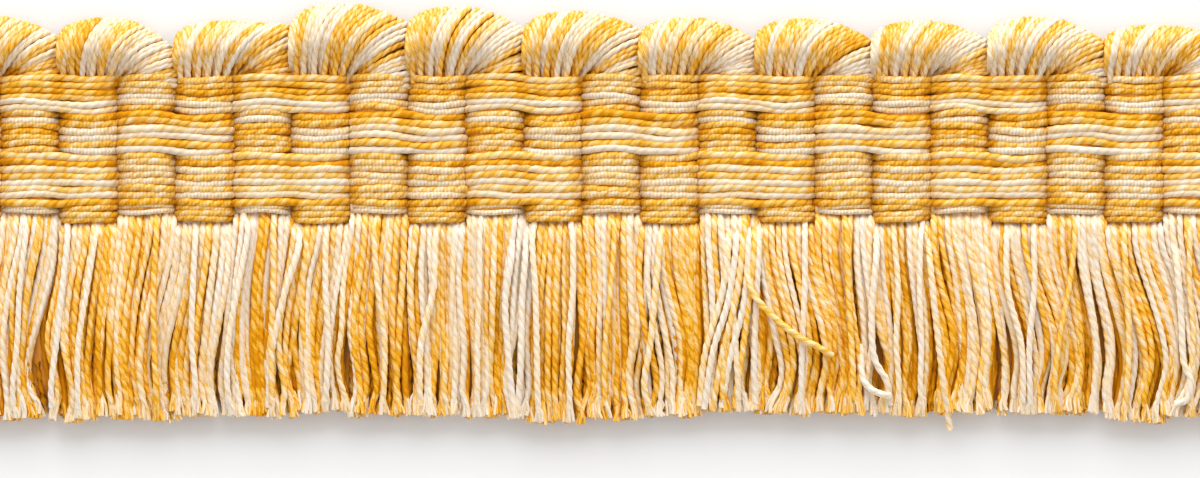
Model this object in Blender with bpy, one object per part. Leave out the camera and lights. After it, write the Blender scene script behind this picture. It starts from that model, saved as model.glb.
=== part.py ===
"""Brush fringe trim: a cut length of woven trimming, lying flat on its back.

Bundles of soft two-ply yarn run across the trim. In the heading lengthwise threads bind them
into ribs, along one edge they turn over as a row of leaning scallop loops, and along the other
they hang free as a cut skirt.

X runs along the trim, +Y points to the scallop loops, -Y to the cut tips and +Z away from the
surface it lies on. The origin is the middle of the footprint, on that surface.
"""

import math
from collections import namedtuple

import bmesh
import bpy

MM = 0.001

# Driving sizes
RIB = 7.15 * MM  # width of one bundle, and of the rib that it makes in the heading
HEADING_WIDTH = 18.1 * MM  # heading, from its lower edge to the foot of the loops
HEADING_THICK = 4.6 * MM
LOW_BINDING = 1.1 * MM  # every second rib is bound this much lower than its neighbours
PIECE_GAP = 0.3 * MM  # clearance between neighbouring pieces
FLOOR = 0.0

# Heading relief
SEAM_DEPTH = 1.6 * MM  # groove between two pairs of ribs
MID_SEAM_DEPTH = 1.2 * MM  # groove inside a pair, where no float bridges it
SEAM_SHARE = 0.12  # half width of a groove, as a share of a rib
CROWN = 0.4 * MM  # how far a rib's sides drop below its middle
EDGE_DROP = 1.0 * MM  # how far the heading thins at its two long edges
EDGE_REACH = 1.6 * MM  # how far in from the edges it thins
BAND_GROOVE = 0.4 * MM  # groove between one band of threads and the next
BAND_EASE = 0.7 * MM  # how far from a band's border its threads reach full height
RIB_CUTS = (0.0, SEAM_SHARE, 0.32, 0.5, 0.68, 1.0 - SEAM_SHARE)

# Skirt
SKIRT_ROOT_THICK = 4.8 * MM
SKIRT_TIP_THICK = 3.4 * MM
SLIT_START = 8.5 * MM  # how far below the heading a tuft parts from its neighbour
SLIT_HALF = 0.45 * MM  # half the slit's width at the tips
TUFT_ROUND = 0.18  # how much thinner a tuft is at its sides than in its middle
TIP_ROUND = 0.02  # how much shorter a tuft hangs at its sides
TUFT_CUTS = (0.0, 0.25, 0.5, 0.75, 1.0)
ROOT_CUTS = (0.0, 0.5, 1.0)  # from the heading to where the slits start
HUNG_CUTS = (0.0, 0.35, 0.7, 1.0)  # from there to the tips

# Loops
LOOP_PEAK = 0.38  # share of a loop's width where it stands highest
LOOP_FOOT_THICK = 0.78  # thickness at the foot, as a share of the loop's thickness
LOOP_RIM_THICK = 0.3  # thickness at the outer rim, as a share of the loop's thickness
LOOP_TUCK = 0.62  # thickness of the end that tucks behind the next loop
LOOP_CUTS = (0.0, 0.05, 0.14, 0.26, 0.38, 0.5, 0.62, 0.74, 0.86, 0.95, 1.0)
LOOP_RINGS = (0.0, 0.22, 0.5, 0.78, 0.93, 1.0)

# How far each loop stands out from the heading, how far it still does at its right end, and
# its thickness, in millimetres, from the trim's left end to its right.
Loop = namedtuple("Loop", "reach end_reach thick")
LOOPS = (
    Loop(7.4, 4.6, 5.6),
    Loop(7.2, 3.1, 5.8),
    Loop(6.8, 6.1, 5.5),
    Loop(9.0, 6.4, 5.9),
    Loop(8.6, 5.7, 5.9),
    Loop(8.0, 5.6, 5.7),
    Loop(7.2, 4.3, 5.6),
    Loop(7.1, 4.2, 5.5),
    Loop(6.8, 4.3, 5.6),
    Loop(7.3, 4.2, 5.7),
    Loop(6.3, 4.8, 5.4),
    Loop(7.0, 4.4, 5.6),
)

# How far each tuft hangs below the heading, how far its tip sways to the right, and how much
# wider than its rib its tip is, in millimetres, from the left end to the right.
Tuft = namedtuple("Tuft", "drop sway spread")
TUFTS = (
    Tuft(24.0, -0.3, 0.0),
    Tuft(24.1, -0.6, 0.0),
    Tuft(24.2, -0.6, -0.1),
    Tuft(24.3, -0.5, 0.1),
    Tuft(23.8, -0.7, 0.0),
    Tuft(23.8, -0.5, 0.1),
    Tuft(23.3, -0.4, 0.0),
    Tuft(23.6, 0.1, -0.1),
    Tuft(23.8, 0.3, 0.0),
    Tuft(23.9, 0.1, 0.1),
    Tuft(24.6, 0.4, 0.1),
    Tuft(24.2, 0.2, 0.0),
    Tuft(23.8, 0.5, -0.2),
    Tuft(23.3, 0.0, 0.5),
    Tuft(23.5, 0.9, 0.4),
    Tuft(23.5, 0.3, -0.2),
    Tuft(23.8, 0.3, 0.1),
    Tuft(23.6, 0.7, 0.0),
    Tuft(23.6, 0.5, 0.1),
    Tuft(23.5, 0.4, 0.0),
    Tuft(24.4, 0.6, 0.2),
    Tuft(23.7, 0.1, 0.0),
    Tuft(23.7, -0.2, 0.0),
    Tuft(23.9, 0.0, 0.0),
)

# The heading's bands, from its lower edge up, and whether the threads float over both ribs of
# a pair there. Pairs of the two kinds alternate along the trim.
Band = namedtuple("Band", "top light_pair dark_pair")
BANDS = (
    Band(2.1 * MM, False, False),
    Band(8.6 * MM, True, False),
    Band(13.8 * MM, False, True),
    Band(HEADING_WIDTH, True, False),
)

LOOP_PITCH = 2 * RIB
LENGTH = LOOP_PITCH * len(LOOPS)
LEFT_END = -LENGTH / 2
HIGHEST = HEADING_WIDTH + max(loop.reach for loop in LOOPS) * MM
LOWEST = -max(tuft.drop for tuft in TUFTS) * MM
LOWER_EDGE = -(HIGHEST + LOWEST) / 2  # Y of the low bound ribs' edge, so that the footprint is centred
HEADING_TOP = LOWER_EDGE + HEADING_WIDTH

# Materials: linear base colour and roughness
GOLD_HEADING = ((0.68, 0.42, 0.15, 1.0), 0.7)
GOLD_SKIRT = ((0.71, 0.45, 0.17, 1.0), 0.75)
GOLD_LOOPS = ((0.72, 0.48, 0.2, 1.0), 0.7)


def smooth(t):
    """A soft ramp from 0 at t = 0 to 1 at t = 1."""
    t = min(1.0, max(0.0, t))
    return t * t * (3 - 2 * t)


def clear_scene():
    """Removes every object of the scene."""
    for old in list(bpy.data.objects):
        bpy.data.objects.remove(old, do_unlink=True)


def make_collection(name):
    """Adds a collection for the trim to the scene."""
    collection = bpy.data.collections.new(name)
    bpy.context.scene.collection.children.link(collection)
    return collection


def make_material(name, finish):
    """Makes a Principled material from a finish's colour and roughness."""
    colour, roughness = finish
    material = bpy.data.materials.new(name)
    material.use_nodes = True
    shader = material.node_tree.nodes["Principled BSDF"]
    shader.inputs["Base Color"].default_value = colour
    shader.inputs["Roughness"].default_value = roughness
    shader.inputs["Metallic"].default_value = 0.0
    return material


def grid_patch(bm, across, down, place):
    """Adds a grid of faces whose corners place(across value, down value) gives."""
    made = bmesh.ops.create_grid(bm, x_segments=len(across) - 1, y_segments=len(down) - 1, size=0.5)
    for vert in made["verts"]:
        i = round((vert.co.x + 0.5) * (len(across) - 1))
        j = round((vert.co.y + 0.5) * (len(down) - 1))
        vert.co = place(across[i], down[j])


def close_down_to_floor(bm):
    """Turns an upper surface into a closed body with a flat underside on the floor."""
    made = bmesh.ops.extrude_face_region(bm, geom=bm.faces[:], use_keep_orig=True)
    for item in made["geom"]:
        if isinstance(item, bmesh.types.BMVert):
            item.co.z = FLOOR
    bmesh.ops.dissolve_limit(
        bm,
        angle_limit=math.radians(0.1),
        verts=[v for v in bm.verts if abs(v.co.z - FLOOR) < 1e-9],
        edges=[e for e in bm.edges if all(abs(v.co.z - FLOOR) < 1e-9 for v in e.verts)],
    )
    bmesh.ops.triangulate(bm, faces=[f for f in bm.faces if len(f.verts) > 4])
    bmesh.ops.recalc_face_normals(bm, faces=bm.faces[:])


def add_piece(name, bm, material, collection):
    """Makes the mesh an object of the trim, shaded smooth with crisp edges."""
    mesh = bpy.data.meshes.new(name)
    bm.to_mesh(mesh)
    bm.free()
    mesh.materials.append(material)
    mesh.shade_smooth()
    mesh.set_sharp_from_angle(angle=math.radians(50))
    piece = bpy.data.objects.new(name, mesh)
    collection.objects.link(piece)
    return piece


def binding_step(x):
    """How far above the low bound ribs' edge the heading ends at x.

    Ribs 0, 2, 4 ... are bound low and the others high, with a short slope between them.
    """
    along = (x - LEFT_END) / RIB
    rib = min(int(along), 2 * len(LOOPS) - 1)
    share = along - rib
    here = LOW_BINDING * (rib % 2)
    other = LOW_BINDING - here
    reach = 2 * SEAM_SHARE
    if share < reach and rib > 0:
        return here + (other - here) * (0.5 - 0.5 * share / reach)
    if share > 1 - reach and rib < 2 * len(LOOPS) - 1:
        return here + (other - here) * (0.5 - 0.5 * (1 - share) / reach)
    return here


def band_rows():
    """Heights of the rows of points across the heading: each band's edges, shoulders and middle."""
    rows = [0.0]
    for below, band in zip((0.0, *(b.top for b in BANDS)), BANDS):
        rows += [below + BAND_EASE, (below + band.top) / 2, band.top - BAND_EASE, band.top]
    return rows


def heading_height(x, height):
    """Z of the heading's upper surface."""
    along = (x - LEFT_END) / RIB
    seam = round(along)
    crown = CROWN * (2 * (along - math.floor(along)) - 1) ** 2
    groove = max(0.0, 1 - abs(along - seam) / SEAM_SHARE)
    if seam % 2:
        groove *= SEAM_DEPTH
    else:
        band = next(b for b in BANDS if height <= b.top)
        bridged = band.light_pair if seam % 4 == 2 else band.dark_pair
        groove *= 0.0 if bridged else MID_SEAM_DEPTH
        crown *= 0.3 if bridged else 1.0
    edge = min(height, HEADING_WIDTH - height) / EDGE_REACH
    border = min(abs(height - band.top) for band in BANDS[:-1])
    between = BAND_GROOVE * max(0.0, 1 - border / BAND_EASE)
    return HEADING_THICK - crown - groove - between - EDGE_DROP * (1 - smooth(edge))


def build_heading(material, collection):
    """Builds the woven heading: ribs side by side, with grooves that the floats bridge."""
    along = [LEFT_END + RIB * (rib + cut) for rib in range(2 * len(LOOPS)) for cut in RIB_CUTS]
    along.append(-LEFT_END)
    lowest_band = BANDS[0].top

    def place(x, row):
        low = binding_step(x)
        height = max(row, low + (lowest_band - low) * row / lowest_band)
        return (x, LOWER_EDGE + height, heading_height(x, min(height, HEADING_WIDTH)))

    bm = bmesh.new()
    grid_patch(bm, along, band_rows(), place)
    close_down_to_floor(bm)
    return add_piece("heading", bm, material, collection)


def build_loop(index, material, collection):
    """Builds one scallop: steep at its left, highest before its middle, tucked low at its right."""
    loop = LOOPS[index]
    start = LEFT_END + LOOP_PITCH * index + PIECE_GAP / 2
    width = LOOP_PITCH - PIECE_GAP
    first_reach = LOOPS[index - 1].end_reach if index else loop.end_reach
    foot = HEADING_TOP + PIECE_GAP

    def reach(t):
        if t < LOOP_PEAK:
            rise = math.sin(math.pi / 2 * t / LOOP_PEAK) ** 0.7
            return first_reach + (loop.reach - first_reach) * rise
        fall = smooth((t - LOOP_PEAK) / (1 - LOOP_PEAK))
        return loop.reach + (loop.end_reach - loop.reach) * fall

    def place(t, ring):
        swell = math.sin(math.pi * min(1.0, 0.16 + ring * 0.84)) ** 0.5
        base = LOOP_FOOT_THICK if ring < 0.5 else LOOP_RIM_THICK
        body = base + (1 - base) * swell
        lean = LOOP_TUCK + (1 - LOOP_TUCK) * smooth((1.0 - t) / 0.5)
        side = 1.0 - 0.25 * (1 - smooth(t / 0.14))
        thick = loop.thick * MM * body * lean * side
        outward = (reach(t) * MM - PIECE_GAP) * ring
        return (start + width * t, foot + outward, thick)

    bm = bmesh.new()
    grid_patch(bm, LOOP_CUTS, LOOP_RINGS, place)
    close_down_to_floor(bm)
    return add_piece(f"loop_{index + 1:02d}", bm, material, collection)


def build_skirt(material, collection):
    """Builds the cut skirt: one comb whose tufts part below their roots."""
    slope_gap = PIECE_GAP * math.hypot(1.0, LOW_BINDING / (4 * SEAM_SHARE * RIB))

    def place_in(rib):
        tuft = TUFTS[rib]
        left = LEFT_END + RIB * rib

        def place(across, down):
            rooted, hung = min(down, 1.0), max(down - 1.0, 0.0)
            aside = (2 * across - 1) ** 2
            half = (RIB + tuft.spread * MM * hung) / 2 - SLIT_HALF * hung**0.6
            x = left + RIB / 2 + tuft.sway * MM * smooth(hung) + half * (2 * across - 1)
            top = binding_step(left + RIB * across) - slope_gap
            tip = -tuft.drop * MM * (1 - TIP_ROUND * aside)
            y = top + (-SLIT_START - top) * rooted + (tip + SLIT_START) * hung
            share = (top - y) / (top - tip)
            thick = SKIRT_ROOT_THICK + (SKIRT_TIP_THICK - SKIRT_ROOT_THICK) * share
            return (x, LOWER_EDGE + y, thick * (1 - TUFT_ROUND * aside * (0.4 + 0.6 * hung)))

        return place

    bm = bmesh.new()
    downs = ROOT_CUTS + tuple(1 + cut for cut in HUNG_CUTS[1:])
    for rib in range(len(TUFTS)):
        grid_patch(bm, TUFT_CUTS, downs, place_in(rib))
    bmesh.ops.remove_doubles(bm, verts=bm.verts[:], dist=0.02 * MM)
    close_down_to_floor(bm)
    return add_piece("skirt", bm, material, collection)


def main():
    """Builds the trim."""
    clear_scene()
    collection = make_collection("brush_fringe_trim")
    build_heading(make_material("heading_yarn", GOLD_HEADING), collection)
    build_skirt(make_material("skirt_yarn", GOLD_SKIRT), collection)
    loop_material = make_material("loop_yarn", GOLD_LOOPS)
    for index in range(len(LOOPS)):
        build_loop(index, loop_material, collection)


main()
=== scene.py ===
"""Looks of a brush fringe trim: two-ply yarn in a bound heading, scallop loops and a cut skirt.

Every visible yarn is a modelled one. Centre lines are worked out from the size of the ribs and
from short tables, and one sweep turns them into twisted two-ply yarn.
"""

from __future__ import annotations

import logging
import math
from dataclasses import dataclass, field
from enum import Enum
from functools import partial, reduce
from typing import Callable, Iterable, NamedTuple, Sequence

import bmesh
import bpy
import numpy as np
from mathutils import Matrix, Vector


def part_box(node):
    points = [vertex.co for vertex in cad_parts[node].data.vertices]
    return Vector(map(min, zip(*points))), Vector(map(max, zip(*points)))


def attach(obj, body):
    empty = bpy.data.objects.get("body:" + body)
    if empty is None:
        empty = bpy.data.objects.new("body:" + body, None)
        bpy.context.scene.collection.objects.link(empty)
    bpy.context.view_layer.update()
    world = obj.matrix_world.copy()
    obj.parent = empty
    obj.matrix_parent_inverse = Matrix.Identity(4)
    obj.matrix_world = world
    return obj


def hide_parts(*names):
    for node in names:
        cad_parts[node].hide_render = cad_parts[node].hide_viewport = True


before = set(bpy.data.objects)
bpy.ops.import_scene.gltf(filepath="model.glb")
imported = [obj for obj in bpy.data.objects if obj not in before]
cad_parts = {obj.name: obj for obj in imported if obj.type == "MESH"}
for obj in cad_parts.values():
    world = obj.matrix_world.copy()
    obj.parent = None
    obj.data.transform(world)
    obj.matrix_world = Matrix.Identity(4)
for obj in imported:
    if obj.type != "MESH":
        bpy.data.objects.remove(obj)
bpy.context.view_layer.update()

MM = 0.001
ROOT = "root"
LOG = logging.getLogger("brush_fringe")
Curve = np.ndarray  # one row of X, Y and Z for each point, in metres
Place = tuple[float, float, float]  # X, Y and Z, in metres
Colour = tuple[float, float, float]  # red, green and blue


# ---------------------------------------------------------------- tones and tables


class Tone(Enum):
    """How a yarn's two plies are dyed."""

    IVORY = "w"
    CREAM = "c"
    MARL = "m"
    GOLD = "g"
    AMBER = "a"


# Dye strength of the first and the second ply, from 0 for ivory to 1 for deep amber.
PLY_DYE: dict[Tone, tuple[float, float]] = {
    Tone.IVORY: (0.00, 0.05),
    Tone.CREAM: (0.10, 0.23),
    Tone.MARL: (0.23, 0.40),
    Tone.GOLD: (0.38, 0.54),
    Tone.AMBER: (0.55, 0.72),
}

# Painted shade: the darker dye given to a yarn that lies deep among others, standing in for the warm shade
# there.
DEEPER_IN_SHADE: dict[Tone, Tone] = {
    Tone.IVORY: Tone.MARL,
    Tone.CREAM: Tone.GOLD,
    Tone.MARL: Tone.GOLD,
    Tone.GOLD: Tone.AMBER,
    Tone.AMBER: Tone.AMBER,
}

# The dye of some of the loose strands that a yarn's end opens into.
LIGHTER: dict[Tone, Tone] = {
    Tone.IVORY: Tone.IVORY,
    Tone.CREAM: Tone.CREAM,
    Tone.MARL: Tone.CREAM,
    Tone.GOLD: Tone.MARL,
    Tone.AMBER: Tone.GOLD,
}


class Zone(NamedTuple):
    """One band of the heading, from its low edge up, and the threads in it, lowest first.

    low and high are shares of the heading's width. Light and dark pairs of ribs take turns,
    and light and dark say whether threads float there over both ribs of such a pair. over
    holds the dyes of the threads that float, and under those of the threads that hide then.
    drop_mm is how much lower the top of the band runs on the second rib.
    """

    low: float
    high: float
    light: bool
    dark: bool
    over: str
    under: str
    drop_mm: float

    def bridges(self, rib: int | np.ndarray) -> np.ndarray:
        """Tell whether threads float here over both ribs of the pair that a rib belongs to."""
        return np.where(np.isin(np.asarray(rib) % 4, (1, 2)), self.light, self.dark)


ZONES = (
    Zone(0.000, 0.116, False, False, "gmg", "wc", 0.05),
    Zone(0.116, 0.475, True, False, "gwmwgcam", "gmgmccmg", 0.35),
    Zone(0.475, 0.762, False, True, "wgwcga", "gmgagwg", 0.60),
    Zone(0.762, 1.000, True, False, "cwgagm", "gcwgmg", 0.25),
)


class Lock(NamedTuple):
    """A lock of skirt yarns that hang together, up to the next lock at its right.

    root and tip are where its right edge is at the heading and at the tips, counted in ribs
    from the left end. parts is how far down the gap at that edge opens, and gap_mm how wide.
    tones are its yarns' dyes.
    """

    root: float
    tip: float
    parts: float
    gap_mm: float
    tones: str


LOCKS = (
    Lock(0.50, 0.36, 0.5, 0.3, "gcwmg"),
    Lock(1.10, 0.95, 0.4, 0.3, "gamgwc"),
    Lock(1.96, 1.78, 0.3, 0.75, "gmwgwgawg"),
    Lock(2.95, 2.86, 0.6, 0.35, "gcgmgmwgam"),
    Lock(3.92, 3.62, 0.5, 0.45, "mcwgaaggcw"),
    Lock(4.95, 4.86, 0.5, 0.5, "ccmcmggmwc"),
    Lock(5.95, 5.78, 0.5, 0.4, "cmgwgagaww"),
    Lock(6.25, 6.08, 0.5, 0.45, "gmg"),
    Lock(7.12, 7.00, 0.25, 0.65, "mgwggcwcw"),
    Lock(8.02, 8.02, 0.6, 0.3, "wwgagmgmg"),
    Lock(8.98, 9.02, 0.6, 0.4, "gcwwggmcww"),
    Lock(10.05, 9.86, 0.35, 0.7, "ccwgmmagwcw"),
    Lock(11.02, 11.05, 0.5, 0.85, "wmggmggagg"),
    Lock(12.00, 11.96, 0.45, 0.6, "ggcwgaggcc"),
    Lock(12.48, 12.76, 0.4, 0.3, "gwwcw"),
    Lock(13.00, 12.99, 0.4, 0.25, "mggag"),
    Lock(13.62, 13.80, 0.5, 0.2, "awgwmc"),
    Lock(14.04, 14.20, 0.4, 0.7, "cgam"),
    Lock(14.98, 15.28, 0.3, 0.45, "wgwmwgcgc"),
    Lock(15.55, 15.62, 0.5, 0.15, "cgcmgg"),
    Lock(15.96, 16.08, 0.4, 0.7, "gwww"),
    Lock(16.55, 16.66, 0.5, 0.5, "gcwggm"),
    Lock(17.15, 17.36, 0.35, 0.6, "cwggcg"),
    Lock(17.96, 18.04, 0.5, 0.45, "gcccwmcg"),
    Lock(18.38, 18.58, 0.4, 0.35, "mwcg"),
    Lock(18.96, 19.28, 0.5, 0.8, "cwggmw"),
    Lock(19.50, 19.62, 0.4, 0.2, "mcgmg"),
    Lock(19.92, 20.14, 0.45, 0.6, "gcwcw"),
    Lock(20.45, 20.84, 0.4, 0.35, "gcwmgg"),
    Lock(20.94, 21.20, 0.35, 0.75, "gwcgw"),
    Lock(21.60, 21.78, 0.5, 0.4, "wwcwgc"),
    Lock(22.30, 22.40, 0.5, 0.4, "gmgwcga"),
    Lock(23.02, 23.05, 0.4, 0.5, "gcwgmgc"),
    Lock(24.00, 24.00, 0.5, 0.3, "wgmgacgmwg"),
)


class Stray(NamedTuple):
    """A yarn that leaves its lock: its way as (ribs along, mm below the heading, mm high)."""

    tone: str
    way: tuple[tuple[float, float, float], ...]


STRAYS = (
    # Spread legs of one tuft, lying over their neighbours.
    Stray("c", ((13.46, -1.0, 3.9), (13.52, 2.5, 4.8), (13.40, 9.0, 4.7), (13.12, 16.0, 4.2),
                (13.02, 22.6, 3.3))),
    Stray("w", ((13.60, -1.0, 3.9), (13.65, 2.5, 4.9), (13.52, 9.5, 4.9), (13.25, 16.0, 4.4),
                (13.10, 23.0, 3.3))),
    Stray("m", ((13.71, -1.0, 3.9), (13.76, 2.5, 4.9), (13.64, 9.5, 5.0), (13.42, 16.0, 4.4),
                (13.24, 23.2, 3.2))),
    Stray("w", ((13.82, -1.0, 3.9), (13.86, 2.5, 5.0), (13.78, 10.0, 4.9), (13.55, 16.5, 4.3),
                (13.40, 22.8, 3.2))),
    Stray("g", ((13.95, -1.0, 3.9), (13.96, 3.0, 4.9), (13.86, 10.0, 4.8), (13.74, 17.0, 4.2),
                (13.62, 22.9, 3.2))),
    Stray("w", ((14.02, -1.0, 3.9), (14.03, 3.0, 4.8), (13.99, 10.0, 4.6), (13.96, 17.0, 4.0),
                (13.98, 22.4, 3.1))),
    # A gold yarn thrown across to the right.
    Stray("g", ((13.86, -0.5, 3.9), (13.84, 5.0, 4.9), (13.92, 8.5, 5.6), (14.25, 11.4, 5.7),
                (14.70, 14.0, 5.5), (15.12, 15.6, 4.9), (15.30, 16.4, 4.2))),
    # Ivory yarns that hook sideways at their ends.
    Stray("w", ((16.05, -0.8, 3.9), (16.06, 4.0, 4.8), (15.98, 11.0, 4.6), (16.02, 16.5, 4.2),
                (16.24, 19.6, 3.8), (16.32, 22.5, 3.0))),
    Stray("w", ((15.80, 15.0, 3.6), (15.82, 19.0, 4.0), (15.98, 20.6, 4.2), (16.18, 21.2, 4.1),
                (16.30, 21.4, 3.8))),
    Stray("w", ((21.10, -0.6, 3.9), (21.22, 5.0, 4.8), (21.30, 12.0, 4.6), (21.34, 17.0, 4.3),
                (21.46, 19.5, 4.2), (21.40, 21.8, 4.0), (21.20, 22.4, 3.8))),
    # Two ivory yarns that meet at their tips.
    Stray("w", ((9.78, -0.8, 3.9), (9.79, 4.0, 4.8), (9.68, 10.0, 4.6), (9.74, 17.0, 4.0),
                (9.84, 24.2, 3.0))),
    Stray("w", ((10.04, -0.8, 3.9), (10.03, 4.0, 4.7), (9.97, 10.0, 4.5), (9.95, 17.0, 4.1),
                (9.89, 23.6, 3.0))),
    # An ivory yarn that crosses its neighbours.
    Stray("w", ((6.08, -0.8, 3.9), (6.13, 3.0, 4.8), (5.88, 9.0, 4.9), (5.66, 16.0, 4.2),
                (5.60, 22.8, 3.0))),
    # A cream yarn that hangs long.
    Stray("c", ((16.92, -0.6, 3.9), (16.98, 5.0, 4.8), (17.10, 13.0, 4.4), (17.22, 20.0, 3.6),
                (17.34, 25.6, 2.2))),
)


class Sheaf(NamedTuple):
    """One loop's dyes, from its steep left side round to its tucked right end."""

    tones: str
    foot_mm: float  # how far the lowest strand at the right runs below the heading's top


SHEAVES = (
    Sheaf("gcmgcgcmgwgcgg", -0.3),
    Sheaf("gmgawcgccwcwgw", 1.2),
    Sheaf("gmwgmcwgwgcgag", -0.3),
    Sheaf("cgcwwggcgwgcww", 1.2),
    Sheaf("mggmwgwgcwcgga", -0.3),
    Sheaf("gmgwgwcggwgcmg", 1.2),
    Sheaf("gmwmcgcmgcwwwc", -0.3),
    Sheaf("ggwgmcwggacwwg", 1.2),
    Sheaf("wggmwgmgcwwggm", -0.3),
    Sheaf("cwcgcwgcwmggwc", 1.2),
    Sheaf("gwmgwmgmcggwcc", -0.3),
    Sheaf("gmcwgmcgwcmgcw", 1.2),
)


# ---------------------------------------------------------------- small helpers


def ease(t: float | np.ndarray) -> float | np.ndarray:
    """Return a soft ramp from 0 at t = 0 to 1 at t = 1."""
    t = np.clip(t, 0.0, 1.0)
    return t * t * (3 - 2 * t)


def smooth_way(points: Sequence[Sequence[float]], steps: int = 24) -> Curve:
    """Run a smooth curve through a few points.

    Args:
        points: The points it passes, in order.
        steps: How many pieces each stretch gets.

    Returns:
        The curve's points.
    """
    p = np.asarray(points, float)
    p = np.vstack([2 * p[0] - p[1], p, 2 * p[-1] - p[-2]])
    t = np.linspace(0, 1, steps, endpoint=False)[:, None]
    runs = [
        0.5 * (2 * b + (c - a) * t + (2 * a - 5 * b + 4 * c - d) * t**2 + (3 * b - a - 3 * c + d) * t**3)
        for a, b, c, d in zip(p, p[1:], p[2:], p[3:])
    ]
    return np.vstack([*runs, p[-2][None]])


def spaced(way: Curve, gap: Callable[[Curve], np.ndarray]) -> Curve:
    """Give a curve new points whose distance may change along it.

    Args:
        way: The curve's points.
        gap: The distance wanted at each of those points, in metres.

    Returns:
        The curve with its new points.
    """
    steps = np.linalg.norm(np.diff(way, axis=0), axis=1)
    wanted = gap(way)
    count = np.concatenate([[0], np.cumsum(steps / ((wanted[1:] + wanted[:-1]) / 2))])
    at = np.linspace(0, count[-1], max(3, round(count[-1]) + 1))
    return np.stack([np.interp(at, count, way[:, k]) for k in range(3)], axis=1)


def even(gap_mm: float) -> Callable[[Curve], np.ndarray]:
    """Return a spacing that is the same all along a curve."""
    return lambda way: np.full(len(way), gap_mm * MM)


def finer_above(height: float, fine_mm: float, coarse_mm: float) -> Callable[[Curve], np.ndarray]:
    """Make a spacing that is fine above a height, where a yarn shows, and coarse below it.

    Args:
        height: The height.
        fine_mm: The distance of a curve's points above it.
        coarse_mm: Their distance below it.

    Returns:
        A function that gives the distance wanted at each point of a curve.
    """

    def gap(way: Curve) -> np.ndarray:
        """Return the distance wanted at each point."""
        shown = ease((way[:, 2] - height) / (0.5 * MM) + 0.5)
        return (coarse_mm + (fine_mm - coarse_mm) * shown) * MM

    return gap


def outward(way: Curve) -> Curve:
    """Work out which side of a strand faces out, for each point of its way.

    It is up at the first point, and is carried along without turning about the strand.

    Args:
        way: The strand's points.

    Returns:
        One direction for each point.
    """
    steps = np.gradient(way, axis=0)
    steps /= np.linalg.norm(steps, axis=1, keepdims=True)
    out = np.array([0.0, 0.0, 1.0]) - steps[0, 2] * steps[0]
    carried = [out / math.sqrt(out @ out)]
    for across, before, after in zip(np.diff(way, axis=0), steps, steps[1:]):
        # Two mirrorings, one halfway along and one at the end, carry it round any bend.
        out, turned = (v - 2 * (across @ v) / (across @ across) * across for v in (carried[-1], before))
        bend = after - turned
        carried.append(out - 2 * (bend @ out) / (bend @ bend) * bend)
    return np.array(carried)


# ---------------------------------------------------------------- node trees


@dataclass(frozen=True)
class Wiring:
    """A node tree that is being wired up."""

    tree: bpy.types.NodeTree

    def feed(self, node: bpy.types.Node, inputs: dict[str | int, object]) -> None:
        """Fill some of a node's inputs.

        Args:
            node: The node.
            inputs: By name or number, a plain value or the output that feeds the input.
        """
        for socket, value in inputs.items():
            if isinstance(value, bpy.types.NodeSocket):
                self.tree.links.new(value, node.inputs[socket])
            else:
                node.inputs[socket].default_value = value

    def add(self, kind: str, inputs: dict[str | int, object] | None = None,
            **settings: object) -> bpy.types.Node:
        """Add a node.

        Args:
            kind: Its type.
            inputs: As for feed().
            settings: Its other settings.

        Returns:
            The node.
        """
        node = self.tree.nodes.new(kind)
        for name, value in settings.items():
            setattr(node, name, value)
        self.feed(node, inputs or {})
        return node

    def maths(self, operation: str, *values: float | bpy.types.NodeSocket,
              clamp: bool = False) -> bpy.types.NodeSocket:
        """Return the result of an operation on one or two numbers."""
        node = self.add("ShaderNodeMath", dict(enumerate(values)), operation=operation, use_clamp=clamp)
        return node.outputs[0]

    def plus(self, *values: float | bpy.types.NodeSocket) -> bpy.types.NodeSocket:
        """Return the sum of some numbers, added in order."""
        return reduce(partial(self.maths, "ADD"), values)

    def times(self, *values: float | bpy.types.NodeSocket) -> bpy.types.NodeSocket:
        """Return the product of some numbers, multiplied in order."""
        return reduce(partial(self.maths, "MULTIPLY"), values)

    def less(self, first: float | bpy.types.NodeSocket,
             second: float | bpy.types.NodeSocket) -> bpy.types.NodeSocket:
        """Return the first number less the second."""
        return self.maths("SUBTRACT", first, second)

    def ramp(self, at: bpy.types.NodeSocket, stops: Sequence[tuple[float, Colour]]) -> bpy.types.NodeSocket:
        """Turn a number into a colour.

        Args:
            at: The number.
            stops: Each number that has a colour of its own, and that colour, in rising order.

        Returns:
            The colour.
        """
        node = self.add("ShaderNodeValToRGB", {0: at})
        elements = node.color_ramp.elements
        elements[0].position, elements[1].position = stops[0][0], stops[-1][0]
        for position, _ in stops[1:-1]:
            elements.new(position)
        for element, (_, colour) in zip(elements, stops):
            element.color = (*colour, 1)
        return node.outputs["Color"]


# ---------------------------------------------------------------- the yarn itself


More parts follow.
